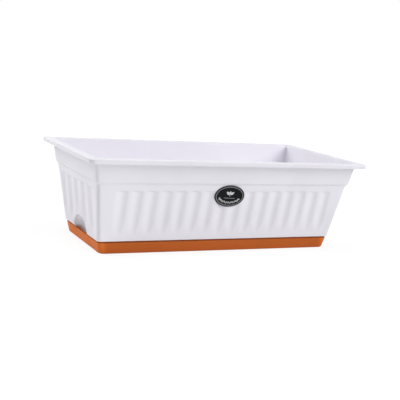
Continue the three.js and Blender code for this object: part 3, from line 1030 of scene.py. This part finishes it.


def moulded_plastic(name, colour, pale, painted_shade_colour, roughness, shine, grain=0.05, ends=None, painted_shade_line=None):
    """A satin moulding: faint clouds in its colour, a fine grain, worn edges, painted shade in hollows.

    Ends: painted light, it turns lighter towards both ends, as if more light fell there; the colour there,
    and from where to where.
    Painted shade line: the height above which it is darkened as a painted shadow, and the share of that
    darkening.
    """
    n = Nodes(name)
    clouds = n.between(n.noise(14, 3), 0.35, 0.65)
    flow = n.between(n.noise(40, 2, stretch=(1, 1, 0.15)), 0.4, 0.6)
    tint = n.mix(clouds, colour, dimmed(colour, 0.975))
    axes = n.node("ShaderNodeSeparateXYZ")
    n.link(n.place, axes.inputs[0])
    # Painted light: the colour turns lighter towards both ends.
    if ends is not None:
        painted_light_end_colour, start, stop = ends
        reach = n.math("ABSOLUTE", axes.outputs["X"], 0)
        tint = n.mix(n.between(reach, start * MM, stop * MM), tint, painted_light_end_colour)
    # Painted shadow: darker above a height, for the shade below the planter's foot.
    if painted_shade_line is not None:
        height, share = painted_shade_line
        shade_line = n.between(axes.outputs["Z"], height * MM, (height + PAINTED_SHADE_FADE) * MM, 0, share)
        tint = n.mix(shade_line, tint, painted_shade_colour)
    point = n.node("ShaderNodeNewGeometry").outputs["Pointiness"]
    worn = n.math("MULTIPLY", n.between(point, 0.53, 0.60), n.between(n.noise(220, 3), 0.4, 0.7, 0.1, 0.6))
    # Painted shade: hollows are darkened in patches, towards the shade colour.
    hollow = n.math("MULTIPLY", n.between(point, 0.48, 0.42), n.between(n.noise(60, 4), 0.4, 0.7, 0.0, 0.25))
    tint = n.mix(worn, tint, pale)
    tint = n.mix(hollow, tint, painted_shade_colour)
    n.link(tint, n.shader.inputs["Base Color"])
    patches = n.between(clouds, 0, 1, roughness - 0.03, roughness + 0.03)
    rough = n.math("ADD", patches, n.between(flow, 0, 1, 0, 0.04))
    n.link(n.math("ADD", rough, n.math("MULTIPLY", worn, 0.15)), n.shader.inputs["Roughness"])
    coarse = n.bump(n.noise(90, 2), 0.0004, grain)
    n.link(n.bump(n.noise(1600, 2), 0.00005, grain * 3, coarse), n.shader.inputs["Normal"])
    n.shader.inputs["IOR"].default_value = PLASTIC_IOR
    n.shader.inputs["Specular IOR Level"].default_value = shine
    return n.material


def label_plastic(name, shine, roughness):
    """Black, with faint clouds and fine scratches."""
    n = Nodes(name)
    clouds = n.noise(60, 3)
    n.link(n.mix(clouds, rgb(0.006, 0.007, 0.008), rgb(0.012, 0.013, 0.014)), n.shader.inputs["Base Color"])
    scratches = n.between(n.noise(300, 4, stretch=(1, 1, 6)), 0.35, 0.65, roughness, roughness + 0.12)
    n.link(scratches, n.shader.inputs["Roughness"])
    n.shader.inputs["Specular IOR Level"].default_value = shine
    n.link(n.bump(n.noise(400, 2), 0.00005, 0.08), n.shader.inputs["Normal"])
    return n.material


def printed_ink(name, colour):
    """A thin print with a fine speckle."""
    n = Nodes(name)
    speckle = n.between(n.noise(900, 3), 0.3, 0.7)
    n.link(n.mix(speckle, colour, dimmed(colour, 0.8)), n.shader.inputs["Base Color"])
    n.link(n.between(speckle, 0, 1, 0.4, 0.55), n.shader.inputs["Roughness"])
    n.link(n.bump(speckle, 0.00002, 0.1), n.shader.inputs["Normal"])
    return n.material


# ---- Studio ----
FLOOR_HALF = 8.0  # metres
FLOOR_SINK = 0.2  # mm below the tray's underside, so that the two don't lie in one plane
FLOOR_BOUNCE = 0.95  # how bright the floor is for the light that it sends back
FLOOR_SEEN = 0.2  # the share of its brightness for the camera that a shadow takes away
FLOOR_GLOW = (0.84, 1.0)  # the rest, close by and far off
FLOOR_NEAR, FLOOR_FAR = 0.5, 1.6  # metres from the object
AMBIENT = 0.2
LAMPS = (
    # name, azimuth from -Y towards +X, elevation, distance and size in metres, power in watts
    ("front_right", 40, 31, 4.0, 2.5, 99.0),
    ("back_left", 228, 33, 2.6, 1.6, 38.0),
    ("overhead", 0, 88, 2.6, 2.0, 17.0),
)


def is_seen(tree):
    """1 for camera, glossy and transmission rays."""
    path = tree.nodes.new("ShaderNodeLightPath")
    total = path.outputs["Is Camera Ray"]
    for name in ("Is Glossy Ray", "Is Transmission Ray"):
        add = tree.nodes.new("ShaderNodeMath")
        add.operation = "MAXIMUM"
        tree.links.new(total, add.inputs[0])
        tree.links.new(path.outputs[name], add.inputs[1])
        total = add.outputs[0]
    return total


def floor_glow(tree):
    """The floor's own light for the camera: it grows with the distance from the object."""
    place = tree.nodes.new("ShaderNodeTexCoord")
    distance = tree.nodes.new("ShaderNodeVectorMath")
    distance.operation = "LENGTH"
    tree.links.new(place.outputs["Object"], distance.inputs[0])
    grow = tree.nodes.new("ShaderNodeMapRange")
    grow.interpolation_type = "SMOOTHSTEP"
    tree.links.new(distance.outputs["Value"], grow.inputs["Value"])
    limits = (FLOOR_NEAR, FLOOR_FAR) + FLOOR_GLOW
    for name, number in zip(("From Min", "From Max", "To Min", "To Max"), limits):
        grow.inputs[name].default_value = number
    return grow.outputs["Result"]


def floor_material():
    """Bounces light back as a plain pale floor, and looks white but for the object's shadow."""
    material = bpy.data.materials.new("studio_floor")
    material.use_nodes = True
    tree = material.node_tree
    tree.nodes.clear()
    make = tree.nodes.new
    bounce, seen = make("ShaderNodeBsdfDiffuse"), make("ShaderNodeBsdfDiffuse")
    bounce.inputs["Color"].default_value = rgb(FLOOR_BOUNCE, FLOOR_BOUNCE, FLOOR_BOUNCE)
    seen.inputs["Color"].default_value = rgb(FLOOR_SEEN, FLOOR_SEEN, FLOOR_SEEN)
    glow = make("ShaderNodeEmission")
    add, mix = make("ShaderNodeAddShader"), make("ShaderNodeMixShader")
    out = make("ShaderNodeOutputMaterial")
    for source, target in (
        (floor_glow(tree), glow.inputs["Strength"]),
        (seen.outputs[0], add.inputs[0]),
        (glow.outputs[0], add.inputs[1]),
        (is_seen(tree), mix.inputs[0]),
        (bounce.outputs[0], mix.inputs[1]),
        (add.outputs[0], mix.inputs[2]),
        (mix.outputs[0], out.inputs["Surface"]),
    ):
        tree.links.new(source, target)
    return material


def studio_floor():
    size = FLOOR_HALF / MM
    corners = [(x * size, y * size, -FLOOR_SINK) for x, y in ((-1, -1), (1, -1), (1, 1), (-1, 1))]
    obj = make_object("floor", corners, [(0, 1, 2, 3)], [floor_material()])


def world():
    """White where it is seen, and a dim even light on the object."""
    made = bpy.data.worlds.new("studio")
    made.use_nodes = True
    tree = made.node_tree
    background = tree.nodes["Background"]
    strength = tree.nodes.new("ShaderNodeMapRange")
    tree.links.new(is_seen(tree), strength.inputs["Value"])
    strength.inputs["To Min"].default_value = AMBIENT
    strength.inputs["To Max"].default_value = 1.0
    tree.links.new(strength.outputs["Result"], background.inputs["Strength"])
    background.inputs["Color"].default_value = rgb(1, 1, 1)
    bpy.context.scene.world = made


def lamps():
    target = Vector((0, 0, HEIGHT / 2 * MM))
    for name, azimuth, elevation, distance, size, power in LAMPS:
        a, e = math.radians(azimuth), math.radians(elevation)
        way = Vector((math.sin(a) * math.cos(e), -math.cos(a) * math.cos(e), math.sin(e)))
        light = bpy.data.lights.new(name, "AREA")
        light.shape = "SQUARE"
        light.size = size
        light.energy = power
        obj = bpy.data.objects.new(name, light)
        obj.location = target + way * distance
        obj.rotation_euler = way.to_track_quat("Z", "Y").to_euler()
        bpy.context.scene.collection.objects.link(obj)


CAMERA_PLACE = (-0.6499, -1.2638, 0.3287)
CAMERA_YAW, CAMERA_PITCH, CAMERA_ROLL = 27.153, -10.361, 5.169
CAMERA_LENS = 75.27
CAMERA_SENSOR = 36


def camera():
    yaw, pitch, roll = (math.radians(a) for a in (CAMERA_YAW, CAMERA_PITCH, CAMERA_ROLL))
    forward = Vector((math.sin(yaw) * math.cos(pitch), math.cos(yaw) * math.cos(pitch), math.sin(pitch)))
    right = forward.cross(Vector((0, 0, 1))).normalized()
    up = right.cross(forward)
    across = right * math.cos(roll) + up * math.sin(roll)
    above = up * math.cos(roll) - right * math.sin(roll)
    data = bpy.data.cameras.new("camera")
    data.lens = CAMERA_LENS
    data.sensor_width = CAMERA_SENSOR
    obj = bpy.data.objects.new("camera", data)
    turn = Matrix((across, above, -forward)).transposed().to_4x4()
    obj.matrix_world = Matrix.Translation(CAMERA_PLACE) @ turn
    bpy.context.scene.collection.objects.link(obj)
    bpy.context.scene.camera = obj


# ---- The scene ----
bpy.context.scene.view_settings.view_transform = "Standard"
camera()
studio_floor()
world()
lamps()

WHITE = moulded_plastic(
    "white_plastic", rgb(0.86, 0.852, 0.905), pale=rgb(0.91, 0.90, 0.94), painted_shade_colour=rgb(0.68, 0.66, 0.66),
    roughness=0.55, shine=0.25,
)
# A lighter, bluer copy of the white for the inside: painted light, standing in for the light that bounces
# round inside.
INNER_WHITE_PAINTED_LIGHT = moulded_plastic(
    "inner_white_painted_light", rgb(0.905, 0.893, 0.968), pale=rgb(0.93, 0.92, 0.97), painted_shade_colour=rgb(0.89, 0.87, 0.93),
    roughness=0.55, shine=0.25,
)
ORANGE = rgb(0.52, 0.122, 0.024)
WORN_ORANGE = rgb(0.62, 0.20, 0.06)
TRAY_ORANGE = moulded_plastic(
    "tray_plastic", ORANGE, pale=WORN_ORANGE, painted_shade_colour=rgb(0.20, 0.05, 0.015), roughness=0.5, shine=0.08,
    # Painted light: the tray's ends are made lighter.
    ends=(rgb(0.72, 0.185, 0.036), TRAY_HIGH[0] - 16, TRAY_HIGH[0] - 5),
    # Painted shadow: a dark line along the tray's top edge, below the planter's foot.
    painted_shade_line=(TRAY_HIGH[2] - TRAY_GROOVE[0] - 0.2, 0.8),
)
CUP_ORANGE = moulded_plastic(
    "cup_plastic", ORANGE, pale=WORN_ORANGE, painted_shade_colour=rgb(0.30, 0.08, 0.02), roughness=0.5, shine=0.08
)
BLACK = label_plastic("black_label", shine=0.06, roughness=0.3)
LIP_BLACK = label_plastic("black_lip", shine=0.4, roughness=0.22)
RING_INK = printed_ink("ring_ink", rgb(0.26, 0.27, 0.28))
LEAF_INK = printed_ink("leaf_ink", rgb(0.44, 0.47, 0.46))
PRINT_INK = printed_ink("print_ink", rgb(0.66, 0.70, 0.67))

bodies = frame["record"]["behaviour"]["bodies"]
body_of_node = {node: body for body, nodes in bodies.items() for node in nodes}
planter_box(WHITE, INNER_WHITE_PAINTED_LIGHT)
water_tray(TRAY_ORANGE)
label(BLACK, LIP_BLACK, RING_INK, LEAF_INK, PRINT_INK)
cups_each = len(CUPS) // len(PLATES)
for i, plate in enumerate(PLATES):
    own_cups = CUPS[i * cups_each:(i + 1) * cups_each]
    drain_plate(plate, body_of_node[plate], own_cups, WHITE)
    for cup in own_cups:
        wick_cup(cup, body_of_node[cup], CUP_ORANGE)
